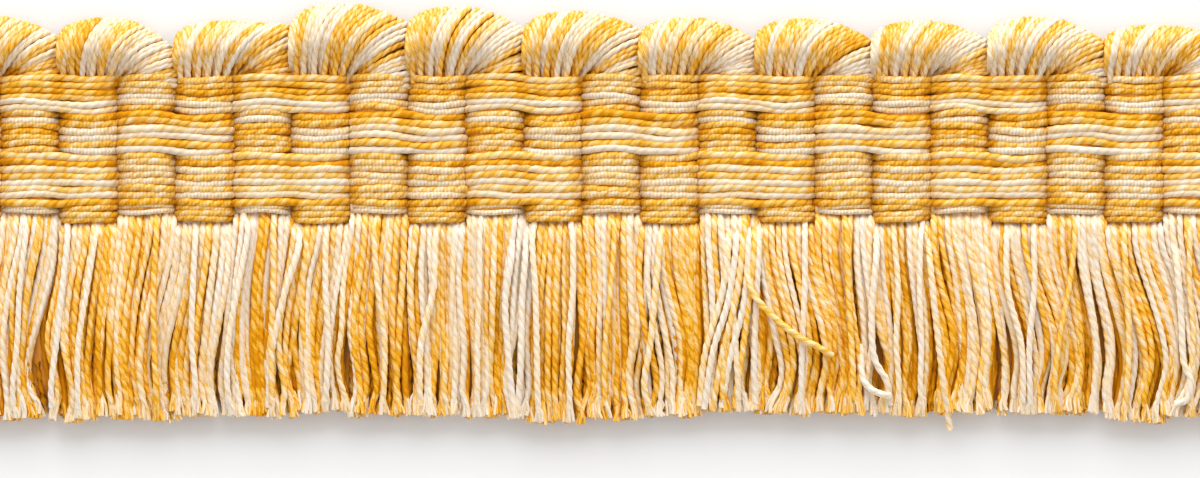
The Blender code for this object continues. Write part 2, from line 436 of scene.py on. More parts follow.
@dataclass(frozen=True)
class YarnGrade:
    """A yarn's thickness, twist and how finely it is modelled."""

    name: str
    radius: float
    waist: float  # half thickness of the section in the groove, as a share of the radius
    twist_pitch: float = 2.45 * MM  # length of one full turn of the plies
    sides: int = 6

    def sweep(self) -> bpy.types.NodeTree:
        """Build the node group that sweeps this yarn's section along centre lines.

        Returns:
            The group, which takes bare lines and gives yarns.
        """
        tree = bpy.data.node_groups.new(f"sweep_{self.name}", "GeometryNodeTree")
        for end in ("INPUT", "OUTPUT"):
            tree.interface.new_socket("Geometry", in_out=end, socket_type="NodeSocketGeometry")
        wiring = Wiring(tree)
        add, maths, plus, times = wiring.add, wiring.maths, wiring.plus, wiring.times

        def named(name: str) -> bpy.types.NodeSocket:
            """Return a number that the points of a line hold."""
            held = add("GeometryNodeInputNamedAttribute", {"Name": name}, data_type="FLOAT")
            return held.outputs["Attribute"]

        def stored(geometry: bpy.types.NodeSocket, name: str, kind: str,
                   value: bpy.types.NodeSocket) -> bpy.types.NodeSocket:
            """Store a value on points.

            Args:
                geometry: The points' geometry.
                name: The value's name.
                kind: Its data type.
                value: The value.

            Returns:
                The geometry with the value on its points.
            """
            inputs = {"Geometry": geometry, "Name": name, "Value": value}
            store = add("GeometryNodeStoreNamedAttribute", inputs, data_type=kind, domain="POINT")
            return store.outputs["Geometry"]

        lines = add("GeometryNodeMeshToCurve", {"Mesh": add("NodeGroupInput").outputs[0]}).outputs["Curve"]
        along = add("GeometryNodeSplineParameter").outputs["Length"]
        turn = plus(times(along, -2 * math.pi / self.twist_pitch), times(named("seed"), 2 * math.pi))
        measured = stored(lines, "along", "FLOAT", along)
        twisted = add("GeometryNodeSetCurveTilt", {"Curve": measured, "Tilt": turn})

        size = {"Resolution": self.sides, "Radius": 1.0}
        ring = add("GeometryNodeCurvePrimitiveCircle", size, mode="RADIUS")
        # A point of the section lies in each groove, at its top and bottom.
        rotation = (0, 0, math.pi / self.sides if self.sides % 4 else 0)
        turned = add("GeometryNodeTransform", {"Geometry": ring.outputs["Curve"], "Rotation": rotation})
        place = add("GeometryNodeInputPosition").outputs[0]
        known = stored(turned.outputs[0], "ply", "FLOAT_VECTOR", place)
        apart = add("ShaderNodeSeparateXYZ", {0: place}).outputs
        out_of_groove = maths("MINIMUM", times(maths("ABSOLUTE", apart[0]), 1.2), 1.0)
        height = plus(times(out_of_groove, 1.0 - self.waist), self.waist)
        joined = add("ShaderNodeCombineXYZ", {0: apart[0], 1: times(apart[1], height)})
        section = add("GeometryNodeSetPosition", {"Geometry": known, "Position": joined.outputs[0]})

        swept = add("GeometryNodeCurveToMesh", {
            "Curve": twisted.outputs[0],
            "Profile Curve": section.outputs[0],
            "Scale": named("thick"),
            "Fill Caps": True,
        })
        add("NodeGroupOutput", {0: swept.outputs["Mesh"]})
        return tree


@dataclass
class Strand:
    """One yarn: its centre line, thickness and dye."""

    way: Curve
    radius: float | np.ndarray
    dye: tuple[float, float]  # strength of its first and its second ply's
    seed: float
    sunk: float | np.ndarray  # how deep it lies among its neighbours, from 0 to 1, which sets its painted shade
    packed: float | np.ndarray  # how tightly it is bound, from 0 to 1, which sets its painted ridge shade


@dataclass
class Hank:
    """Yarns of one grade that become one piece."""

    name: str
    grade: YarnGrade
    strands: list[Strand] = field(default_factory=list)

    def add(self, way: Curve, tone: Tone, rng: np.random.Generator, taper: np.ndarray | float = 1.0,
            sunk: np.ndarray | float = 0.0, packed: np.ndarray | float = 0.0) -> None:
        """Lay one more yarn.

        Args:
            way: Its centre line.
            tone: Its dye.
            rng: Source of its small differences from others.
            taper: Its thickness along the way, as a share of the grade's.
            sunk: How deep it lies among its neighbours along the way, from 0 to 1, which sets its painted
                shade.
            packed: How tightly it is bound along the way, from 0 to 1, which sets its painted ridge shade.
        """
        first, second = PLY_DYE[tone]
        shift = rng.normal(0, 0.035)
        dye = (first + shift, second + shift + rng.normal(0, 0.02))
        self.strands.append(Strand(way, self.grade.radius * taper, dye, rng.random(), sunk, packed))

    def build(self, material: bpy.types.Material, slot: str) -> bpy.types.Object:
        """Make the piece.

        Args:
            material: What it is made of.
            slot: Not used.

        Returns:
            The piece, riding on the trim's one body.
        """
        ways = [s.way for s in self.strands]
        counts = np.array([len(w) for w in ways])
        ends = np.cumsum(counts)
        links = np.delete(np.arange(ends[-1] - 1), ends[:-1] - 1)
        mesh = bpy.data.meshes.new(f"{self.name}_lines")
        mesh.from_pydata(np.vstack(ways).tolist(), np.stack([links, links + 1], 1).tolist(), [])
        values = {
            "thick": [s.radius for s in self.strands],
            "sunk": [s.sunk for s in self.strands],
            "packed": [s.packed for s in self.strands],
            "dye_first": [s.dye[0] for s in self.strands],
            "dye_second": [s.dye[1] for s in self.strands],
            "seed": [s.seed for s in self.strands],
            "strand": range(len(ways)),
        }
        for name, held in values.items():
            numbers = np.concatenate([np.broadcast_to(value, count) for value, count in zip(held, counts)])
            made = mesh.attributes.new(name, "FLOAT", "POINT")
            made.data.foreach_set("value", numbers.astype(np.float32))
        sides = mesh.attributes.new("out", "FLOAT_VECTOR", "POINT")
        sides.data.foreach_set("vector", np.vstack([outward(way) for way in ways]).astype(np.float32).ravel())
        lines = bpy.data.objects.new(f"{self.name}_lines", mesh)
        bpy.context.scene.collection.objects.link(lines)
        lines.modifiers.new("sweep", "NODES").node_group = self.grade.sweep()
        graph = bpy.context.evaluated_depsgraph_get()
        swept = bpy.data.meshes.new_from_object(
            lines.evaluated_get(graph), preserve_all_data_layers=True, depsgraph=graph
        )
        bpy.data.objects.remove(lines)
        swept.name = self.name
        swept.shade_smooth()
        lay_out_strips(swept, len(ways), 2 * math.pi * self.grade.radius)
        return finish_piece(swept, material)


def read_floats(mesh: bpy.types.Mesh, name: str, width: int = 1) -> np.ndarray:
    """Read an attribute of a mesh's points.

    Args:
        mesh: The mesh.
        name: The attribute's name.
        width: How many numbers each point has, 1 or 3.

    Returns:
        The numbers, in rows if there are three for each point.
    """
    found = np.empty(len(mesh.vertices) * width, np.float32)
    mesh.attributes[name].data.foreach_get("vector" if width == 3 else "value", found)
    return found.reshape(-1, width) if width > 1 else found


def lay_out_strips(mesh: bpy.types.Mesh, count: int, girth: float) -> None:
    """Give swept yarns a map with each yarn as an upright strip, so that no two share a place.

    Args:
        mesh: The swept yarns, with along, ply and strand stored on their points.
        count: How many yarns there are.
        girth: A yarn's distance round, in metres.
    """
    along, strand = read_floats(mesh, "along"), read_floats(mesh, "strand").round().astype(int)
    ply = read_floats(mesh, "ply", 3)
    lengths = np.zeros(count)
    np.maximum.at(lengths, strand, along)
    # Strips stand on one another in columns that are about as high as all of them are wide.
    margin = 0.5 * girth
    tall = lengths + 2 * margin
    height = max(tall.max(), math.sqrt(tall.sum() * girth) * 1.02)
    column, base, used, low = np.zeros(count), np.zeros(count), 0, 0.0
    for k in range(count):
        if low + tall[k] > height:
            used, low = used + 1, 0.0
        column[k], base[k] = used, low
        low += tall[k]
    corners = np.empty(len(mesh.loops), np.int32)
    mesh.loops.foreach_get("vertex_index", corners)
    sizes = np.empty(len(mesh.polygons), np.int32)
    mesh.polygons.foreach_get("loop_total", sizes)
    starts = np.concatenate([[0], np.cumsum(sizes)[:-1]])
    face = np.repeat(np.arange(len(sizes)), sizes)
    # A face that closes the ring round a yarn runs on past a full turn.
    turn = (np.arctan2(ply[:, 1], ply[:, 0]) / (2 * math.pi))[corners] % 1.0
    wraps = (np.maximum.reduceat(turn, starts) - np.minimum.reduceat(turn, starts) > 0.5)[face]
    turn = np.where(wraps & (turn < 0.5), turn + 1, turn)
    length = along[corners]
    # The faces that close a yarn's ends lie beyond the ends of its strip.
    cap = (np.maximum.reduceat(length, starts) - np.minimum.reduceat(length, starts) < 1e-9)[face]
    spot = ply[corners]
    at_end = length > lengths[strand[corners]] / 2
    across = np.where(cap, 0.5 + 0.3 * spot[:, 0], 0.04 + 0.78 * turn)
    beyond = np.where(at_end, 0.6, -0.6) * margin + 0.3 * margin * spot[:, 1]
    upward = base[strand[corners]] + margin + length + np.where(cap, beyond, 0.0)
    places = np.stack([(column[strand[corners]] + across) / (used + 1), upward / height], 1)
    layer = mesh.uv_layers.new(name="OFBake")
    layer.data.foreach_set("uv", places.astype(np.float32).ravel())


def smooth_mesh(bm: bmesh.types.BMesh, name: str) -> bpy.types.Mesh:
    """Turn a bmesh, which is freed, into a smoothly shaded mesh.

    Args:
        bm: The bmesh.
        name: The mesh's name.

    Returns:
        The mesh.
    """
    mesh = bpy.data.meshes.new(name)
    bm.to_mesh(mesh)
    bm.free()
    mesh.shade_smooth()
    return mesh


def slab(name: str, columns: int, rows: int, front: Callable[[int, float], Place],
         back: Callable[[int, float], Place]) -> bpy.types.Mesh:
    """Build a closed slab with a shaped front and back.

    Args:
        name: The mesh's name.
        columns: How many cells it has along the trim.
        rows: How many it has across the trim.
        front: Gives a front point's place from its column and its share of the way up.
        back: The same for the back.

    Returns:
        The mesh.
    """
    bm = bmesh.new()
    grid = bmesh.ops.create_grid(bm, x_segments=columns, y_segments=rows, size=0.5)
    made = bmesh.ops.extrude_face_region(bm, geom=bm.faces[:], use_keep_orig=True)
    copies = [vert for vert in made["geom"] if isinstance(vert, bmesh.types.BMVert)]
    for verts, place in ((grid["verts"], front), (copies, back)):
        for vert in verts:
            column, row = round((vert.co.x + 0.5) * columns), round((vert.co.y + 0.5) * rows)
            vert.co = place(column, row / rows)
    bmesh.ops.recalc_face_normals(bm, faces=bm.faces[:])
    return smooth_mesh(bm, name)


def finish_piece(mesh: bpy.types.Mesh, material: bpy.types.Material) -> bpy.types.Object:
    """Show a mesh as a piece of the trim.

    Args:
        mesh: The mesh, which has the piece's name.
        material: What it is made of.

    Returns:
        The piece, riding on the trim's one body.
    """
    mesh.materials.clear()
    mesh.materials.append(material)
    piece = bpy.data.objects.new(mesh.name, mesh)
    bpy.context.scene.collection.objects.link(piece)
    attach(piece, ROOT)
    LOG.info("%s: %d faces", piece.name, len(mesh.polygons))
    return piece


# ---------------------------------------------------------------- materials


# The yarn's colour at some strengths of its dye.
DYE_COLOURS = (
    (0.00, (0.77, 0.705, 0.63)),
    (0.25, (0.835, 0.665, 0.455)),
    (0.52, (0.82, 0.53, 0.155)),
    (0.78, (0.81, 0.41, 0.014)),
    (1.00, (0.66, 0.265, 0.001)),
)


def blank_material(name: str) -> tuple[bpy.types.Material, Wiring, bpy.types.Node]:
    """Make a material.

    Args:
        name: Its name.

    Returns:
        The material, its wiring and its Principled shader.
    """
    made = bpy.data.materials.new(name)
    made.use_nodes = True
    return made, Wiring(made.node_tree), made.node_tree.nodes["Principled BSDF"]


@dataclass(frozen=True)
class YarnFinish:
    """How a yarn's surface looks."""

    name: str
    shade: float = 1.0  # brightness of the yarn in this part, set to suit how the lamps fall on it: painted light and shade
    sheen: float = 0.04
    roughness: float = 0.52
    groove_shade: float = 0.86  # painted shade: brightness left in the groove between the plies
    sunk_shade: float = 0.1  # painted shade: brightness lost where the yarn lies deep
    gleam: Colour = (1.0, 0.8, 0.48)  # tint of its soft highlights
    relief: float = 0.045 * MM  # how far its bumps stand out

    def material(self, effect: bpy.types.NodeTree) -> bpy.types.Material:
        """Build the material.

        Args:
            effect: The shared two-ply yarn effect.

        Returns:
            A new material.
        """
        made, wiring, shader = blank_material(self.name)
        yarn = wiring.add("ShaderNodeGroup", node_tree=effect)
        wiring.feed(yarn, {
            "Shade": self.shade,
            "Groove Shade": self.groove_shade,
            "Sunk Shade": self.sunk_shade,
            "Base Roughness": self.roughness,
        })
        bump = wiring.add("ShaderNodeBump", {
            "Height": yarn.outputs["Height"], "Distance": self.relief, "Strength": 1.0,
        })
        wiring.feed(shader, {
            "Base Color": yarn.outputs["Color"],
            "Roughness": yarn.outputs["Roughness"],
            "Normal": bump.outputs["Normal"],
            "Sheen Weight": self.sheen,
            "Sheen Roughness": 0.4,
            "Sheen Tint": (*self.gleam, 1),
            "Specular IOR Level": 0.17,
            "Specular Tint": (*self.gleam, 1),
        })
        return made


@dataclass(frozen=True)
class PackedFinish:
    """Packed yarn that shows only in seams and gaps, in dark ambers that are partly its dye and partly
    painted shade.
    """

    name: str
    deep: Colour  # its darkest colour
    pale: Colour

    def material(self) -> bpy.types.Material:
        """Build the material.

        Returns:
            A new material.
        """
        made, wiring, shader = blank_material(self.name)
        place = wiring.add("ShaderNodeTexCoord").outputs["Object"]
        drawn_out = wiring.add("ShaderNodeMapping", {"Vector": place, "Scale": (1400, 160, 900)})
        fibres = wiring.add("ShaderNodeTexNoise", {
            "Vector": drawn_out.outputs[0], "Scale": 1.0, "Detail": 3.0,
        })
        colour = wiring.ramp(fibres.outputs["Fac"], ((0.35, self.deep), (0.70, self.pale)))
        wiring.feed(shader, {"Base Color": colour, "Roughness": 0.75})
        return made


def two_ply_effect() -> bpy.types.NodeTree:
    """Build the shader group of two-ply yarn: dye, fibres along the plies, and painted shade in the groove,
    at the flanks and where the yarn lies deep, with painted light on the flanks.

    Returns:
        The group.
    """
    tree = bpy.data.node_groups.new("two_ply_yarn", "ShaderNodeTree")
    for name, usual in (("Shade", 1.0), ("Groove Shade", 0.8), ("Sunk Shade", 0.1), ("Base Roughness", 0.45)):
        socket = tree.interface.new_socket(name, in_out="INPUT", socket_type="NodeSocketFloat")
        socket.default_value = usual
    for name, kind in (("Color", "Color"), ("Roughness", "Float"), ("Height", "Float")):
        tree.interface.new_socket(name, in_out="OUTPUT", socket_type=f"NodeSocket{kind}")
    wiring = Wiring(tree)
    add, maths, plus, times, less = wiring.add, wiring.maths, wiring.plus, wiring.times, wiring.less
    given = add("NodeGroupInput").outputs

    def stored(name: str, output: str = "Fac") -> bpy.types.NodeSocket:
        """Return what the yarn's points hold under a name."""
        return add("ShaderNodeAttribute", attribute_type="GEOMETRY", attribute_name=name).outputs[output]

    ply = add("ShaderNodeSeparateXYZ", {0: stored("ply", "Vector")}).outputs
    along, seed, sunk = stored("along"), stored("seed"), stored("sunk")

    # Fibres run along each ply, so the pattern is long that way and fine round the yarn. Large
    # factors on the seed keep the patterns of any two yarns apart.
    fibre_at = add("ShaderNodeCombineXYZ", {
        0: times(ply[0], 1.5),
        1: times(ply[1], 1.5),
        2: plus(times(along, 750.0), times(seed, 91.0)),
    })
    fibre_noise = add("ShaderNodeTexNoise", {"Vector": fibre_at.outputs[0], "Scale": 1.6, "Detail": 3.0})
    fibres = fibre_noise.outputs["Fac"]
    # The dye drifts slowly along a yarn.
    drift_at = add("ShaderNodeCombineXYZ", {0: times(along, 130.0), 1: times(seed, 57.0)})
    drift_noise = add("ShaderNodeTexNoise", {
        "Vector": drift_at.outputs[0], "Scale": 1.0, "Detail": 2.5, "Roughness": 0.65,
    })
    drift = drift_noise.outputs["Fac"]
    # The groove between the plies lies where the section's first coordinate is near zero; painted shade
    # darkens it and deepens its dye.
    bulge = maths("POWER", maths("ABSOLUTE", ply[0]), 0.7)
    depth = maths("SUBTRACT", 1.0, bulge, clamp=True)
    # The flanks are where a yarn faces away from its outer side; they get painted shade in the dye and
    # painted light in brightness.
    facing = add("ShaderNodeVectorMath", {
        0: add("ShaderNodeNewGeometry").outputs["Normal"], 1: stored("out", "Vector"),
    }, operation="DOT_PRODUCT")
    turned_away = less(0.80, maths("ABSOLUTE", facing.outputs["Value"]))
    flank = maths("MULTIPLY", turned_away, 1.6, clamp=True)

    # One ply's dye passes into the other's across the groove.
    side = maths("ADD", times(ply[0], 2.5), 0.5, clamp=True)
    first, second = stored("dye_first"), stored("dye_second")
    dye = plus(first, times(side, less(second, first)))
    wander = times(less(drift, 0.5), 0.7)
    streak = less(fibres, 0.5)
    # Painted shade: the dye is drawn deeper in grooves, at flanks and among neighbours, standing in for the
    # warm light that comes off other yarn.
    shade_tint = plus(times(sunk, 0.45), times(depth, 0.30), times(flank, 0.42))
    shade_tint = times(shade_tint, plus(times(dye, 1.1), 0.5))
    dyed = maths("ADD", plus(dye, wander, streak), shade_tint, clamp=True)

    # Stripes of painted shade stand for fine ridges that cross a yarn where it is bound tightly over one rib.
    ridge = maths("SINE", plus(times(along, 2 * math.pi / (0.42 * MM)), times(drift, 14.0)))
    ridge = times(plus(ridge, 0.35), stored("packed"))
    # Painted light and shade: darker in the groove and where the yarn lies deep, lighter on the flanks,
    # striped by the ridges, and scaled by the part's brightness.
    lit = times(
        less(1.0, times(depth, less(1.0, given["Groove Shade"]))),
        less(1.0, times(sunk, given["Sunk Shade"])),
        less(1.25, times(fibres, 0.5)),
        plus(1.0, times(flank, 0.3)),
        less(1.0, times(ridge, 0.105)),
        given["Shade"],
    )
    # The painted shade is warm: green goes faster than red, and blue faster still.
    shade = add("ShaderNodeCombineColor", {0: lit, 1: maths("POWER", lit, 1.28), 2: maths("POWER", lit, 1.8)})
    colour = add("ShaderNodeMix", data_type="RGBA", blend_type="MULTIPLY")
    wiring.feed(colour, {"Factor": 1.0, "A": wiring.ramp(dyed, DYE_COLOURS), "B": shade.outputs[0]})
    add("NodeGroupOutput", {
        "Color": colour.outputs["Result"],
        "Roughness": plus(given["Base Roughness"], times(fibres, 0.16)),
        "Height": plus(bulge, times(fibres, 0.5)),
    })
    return tree


# ---------------------------------------------------------------- the trim


@dataclass
class Ribs:
    """Where the ribs lie: the trim's layout, read from the frame."""

    left: float
    width: float
    count: int
    low: float  # Y of the edge of the ribs that are bound low
    top: float  # Y of the foot of the loops
    high_step: float = 1.1 * MM  # how much higher every second rib is bound

    @classmethod
    def from_frame(cls) -> "Ribs":
        """Read the layout from the heading's box and the number of loops.

        Returns:
            The layout.
        """
        low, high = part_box("heading")
        count = 2 * sum(name.startswith("loop_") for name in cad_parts)
        return cls(low[0], (high[0] - low[0]) / count, count, low[1], high[1])

    def x(self, along: float | np.ndarray) -> float | np.ndarray:
        """Return X at a place counted in ribs from the left end."""
        return self.left + self.width * along

    def bound_at(self, rib: int) -> float:
        """Return Y where a rib's lowest binding thread ends and its tuft begins."""
        return self.low + self.high_step * (rib % 2)


@dataclass
class Heading:
    """The woven band: weft ground, and the threads that bind it."""

    ribs: Ribs
    front: float = 4.05 * MM  # height of a thread's middle on a rib's crown
    back: float = 0.52 * MM
    seam_front: float = 2.9 * MM  # height in a seam of a thread that stays in front
    seam_back: float = 1.0 * MM
    seam_middle: float = 2.0 * MM  # height in a seam of a thread that changes sides
    roundness: tuple[float, float] = (4.8, 3.6)  # at a shallow and at a deep seam: lower is rounder
    per_rib: int = 64  # points of a thread's way over each rib
    # Size and length of the waves in a thread, in mm.
    waves: tuple[tuple[float, float], ...] = ((0.10, 23.0), (0.09, 11.0), (0.05, 6.1))
    thickest: float = 0.53 * MM  # radius of a thread that has room
    ground_front: tuple[float, float] = (1.6 * MM, 4.15 * MM)  # the ground's height in a seam and on a crown
    ground_back: tuple[float, float] = (1.0 * MM, 0.7 * MM)
    ground_rows: int = 11

    def in_front(self, zone: Zone, floats: bool, rib: int) -> bool:
        """Tell whether a thread runs in front of a rib.

        Args:
            zone: The thread's band.
            floats: True for the threads that float over both ribs of a pair.
            rib: The rib's number from the left end.

        Returns:
            True if it runs in front.
        """
        return floats if zone.bridges(rib) else (rib % 2 == 0) == floats

    def seam_height(self, seam: int, before: bool, after: bool) -> float:
        """Work out a thread's height in a seam.

        Args:
            seam: The seam's number, which is that of the rib at its right.
            before: True if the thread runs in front of the rib at its left.
            after: The same for the rib at its right.

        Returns:
            The height.
        """
        if before != after:
            return self.seam_middle
        deep = seam % 2 == 1
        if before:
            return self.seam_front if deep else self.front + 0.02 * MM
        return self.seam_back if deep else self.back

    def thread(self, zone: Zone, level: float, floats: bool, rng: np.random.Generator) -> Curve:
        """Work out one binding thread's way.

        Args:
            zone: Its band.
            level: Its height above the heading's low edge.
            floats: True for the threads that float.
            rng: Source of its small waves.

        Returns:
            The way, from the left end to the right.
        """
        ribs = self.ribs
        sides = [self.in_front(zone, floats, rib) for rib in range(ribs.count)]
        u = np.arange(self.per_rib) / self.per_rib
        heights = []
        for rib, side in enumerate(sides):
            before = sides[rib - 1] if rib else side
            after = sides[rib + 1] if rib + 1 < ribs.count else side
            left, right = self.seam_height(rib, before, side), self.seam_height(rib + 1, side, after)
            edge = np.where(u < 0.5, left, right)
            swell = (0.2 + 0.07 * rng.normal()) * MM * np.sin(math.pi * u) if side else 0.0
            crown = (self.front if side else self.back) + swell
            deep = (u < 0.5) == (rib % 2 == 1)
            rise = 1 - np.abs(1 - 2 * u) ** np.where(deep, self.roundness[1], self.roundness[0])
            heights.append(edge + (crown - edge) * rise)
        z = np.concatenate([*heights, heights[-1][:1]])
        place = np.arange(len(z)) / self.per_rib
        seams = range(ribs.count + 1)
        x = ribs.x(place) + np.interp(place, seams, rng.normal(0, 0.11, len(seams))) * MM
        # Every band's threads run a little lower on the second rib of a pair.
        lower = 0.5 + 0.5 * np.sin(math.pi * place)
        tops = [0.0, *(band.high for band in ZONES)]
        drops = [0.0, *(band.drop_mm for band in ZONES)]
        lean = -np.interp(level / (ribs.top - ribs.low), tops, drops) * MM * lower
        wave = sum(
            size * MM * np.sin(2 * math.pi * (x / (length * MM) + rng.random()))
            for size, length in self.waves
        )
        y = np.full(len(z), ribs.low + level) + lean + wave
        return np.stack([x, y, z], 1)

    def lay_band(self, hank: Hank, zone: Zone, tones: str, floats: bool, rng: np.random.Generator) -> None:
        """Lay the threads of one kind in one band.

        Args:
            hank: Where they go.
            zone: The band.
            tones: Their dyes, lowest first.
            floats: True for the threads that float.
            rng: Source of their differences.
        """
        ribs, width = self.ribs, self.ribs.top - self.ribs.low
        low, high = zone.low * width, zone.high * width
        if zone.low == 0 and not floats:  # high bound ribs end above their neighbours
            low = ribs.high_step
        pitch = (high - low) / len(tones)
        for k, tone in enumerate(tones):
            level = low + (high - low) * ((k + 0.5) / len(tones)) + rng.normal(0, 0.05) * pitch
            thick = min(0.65 * pitch, self.thickest) / hank.grade.radius * rng.uniform(0.93, 1.05)
            way = spaced(self.thread(zone, level, floats, rng), finer_above(1.9 * MM, 0.34, 0.95))
            rib, inside = np.divmod((way[:, 0] - ribs.left) / ribs.width, 1.0)
            # Painted shade: it is darker where it dips into a seam, and more so near the seam's middle.
            sunk = 0.2 * ease((self.front - 0.1 * MM - way[:, 2]) / (1.9 * MM))
            sunk = sunk + 0.7 * np.minimum(np.abs(2 * inside - 1), 0.8) ** 3
            hank.add(way, Tone(tone), rng, thick, sunk, packed=1.0 - zone.bridges(rib))

    def bind(self, materials: dict[str, bpy.types.Material]) -> list[bpy.types.Object]:
        """Lay the lengthwise threads.

        Args:
            materials: The finishes by name.

        Returns:
            The two pieces that they make.
        """
        rng = np.random.default_rng(31)
        grade = YarnGrade("binding", radius=0.42 * MM, waist=0.92, twist_pitch=2.6 * MM)
        floating, tucked = Hank("binding_threads_floating", grade), Hank("binding_threads_tucked", grade)
        for zone in ZONES:
            self.lay_band(floating, zone, zone.over, True, rng)
            self.lay_band(tucked, zone, zone.under, False, rng)
        return [hank.build(materials["binding"], "heading_yarn") for hank in (floating, tucked)]

    def ground(self, materials: dict[str, bpy.types.Material]) -> bpy.types.Object:
        """Build the weft ground that the threads bind, a band ribbed on both faces.

        Args:
            materials: The finishes by name.

        Returns:
            The piece.
        """
        ribs = self.ribs
        cuts = (0.0, 0.07, 0.16, 0.32, 0.5, 0.68, 0.84, 0.93)  # where a rib's round section has points
        xs = [ribs.x(rib + cut) for rib in range(ribs.count) for cut in cuts] + [ribs.x(ribs.count)]
        low, high = ribs.low + 1.3 * MM, ribs.top - 0.35 * MM

        def face(seam: float, crown: float, column: int, share: float) -> Place:
            """Return a point's place from the heights of the seams and crowns of its face."""
            bulge = 1 - abs(2 * ((xs[column] - ribs.left) / ribs.width % 1.0) - 1) ** 4.4
            return xs[column], low + (high - low) * share, seam + (crown - seam) * bulge

        front, back = partial(face, *self.ground_front), partial(face, *self.ground_back)
        mesh = slab("heading_ground", len(xs) - 1, self.ground_rows, front, back)
        return finish_piece(mesh, materials["ground"])


@dataclass(frozen=True)
class Layer:
    """How one layer of the skirt's yarns lies."""

    heights: tuple[float, float, float]  # inside the heading, where a yarn swells below it, and at its tip
    seed: int
    per_rib: int = 9
    shift: float = 0.0  # sideways shift, in yarns
    parted: float = 1.0  # how much a yarn keeps to its lock, from 0 to 1
    sunk: float = 0.0  # how deep the layer lies, from 0 to 1, which sets its painted shade
    gap_mm: float = 1.5  # spacing of the modelled rings
    starts: float = -math.inf  # how far below the heading its yarns start
    strewn: float = 0.2  # share of the yarns whose dye is drawn at random from their lock's


FRONT_LAYER = Layer((3.25 * MM, 4.3 * MM, 2.75 * MM), seed=100, gap_mm=0.40)
SECOND_LAYER = Layer(
    (2.9 * MM, 3.95 * MM, 2.35 * MM), seed=300, shift=0.5, parted=0.75, sunk=0.35, gap_mm=0.5, strewn=0.8
)
# From the front down to the floor.
UNDER_LAYERS = (
    Layer((2.5 * MM, 3.25 * MM, 1.95 * MM), seed=500, per_rib=12, parted=0.45, sunk=0.7, starts=2 * MM),
    Layer(
        (1.6 * MM, 2.2 * MM, 1.35 * MM), seed=700, per_rib=12, shift=0.5, parted=0.0, sunk=0.6, starts=17 * MM
    ),
    Layer((0.5 * MM, 0.5 * MM, 0.5 * MM), seed=900, per_rib=10, parted=0.0),
)


class Bend(NamedTuple):
    """A point that a leaning yarn passes."""

    share: float  # of the way from its root down to its tip
    height_mm: float
    slant: float  # share of its sideways slant


LEANING = (
    Bend(-0.03, 2.40, 0.00),
    Bend(0.015, 3.70, 0.00),
    Bend(0.10, 4.75, 0.00),
    Bend(0.35, 4.85, 0.30),
    Bend(0.62, 4.45, 0.75),
    Bend(0.84, 3.95, 1.00),
    Bend(1.00, 3.10, 0.90),
)


def sway(s: np.ndarray, amount: float, turns: float, settled: float = 0.3) -> np.ndarray:
    """Work out how far a hanging yarn sways.

    Args:
        s: Places down the yarn, from 0 at its root to 1.
        amount: The most it sways.
        turns: How many half waves it makes.
        settled: How far down it sways in full.

    Returns:
        How far it sways at those places.
    """
    return amount * np.sin(math.pi * s * turns) * ease(s / settled)


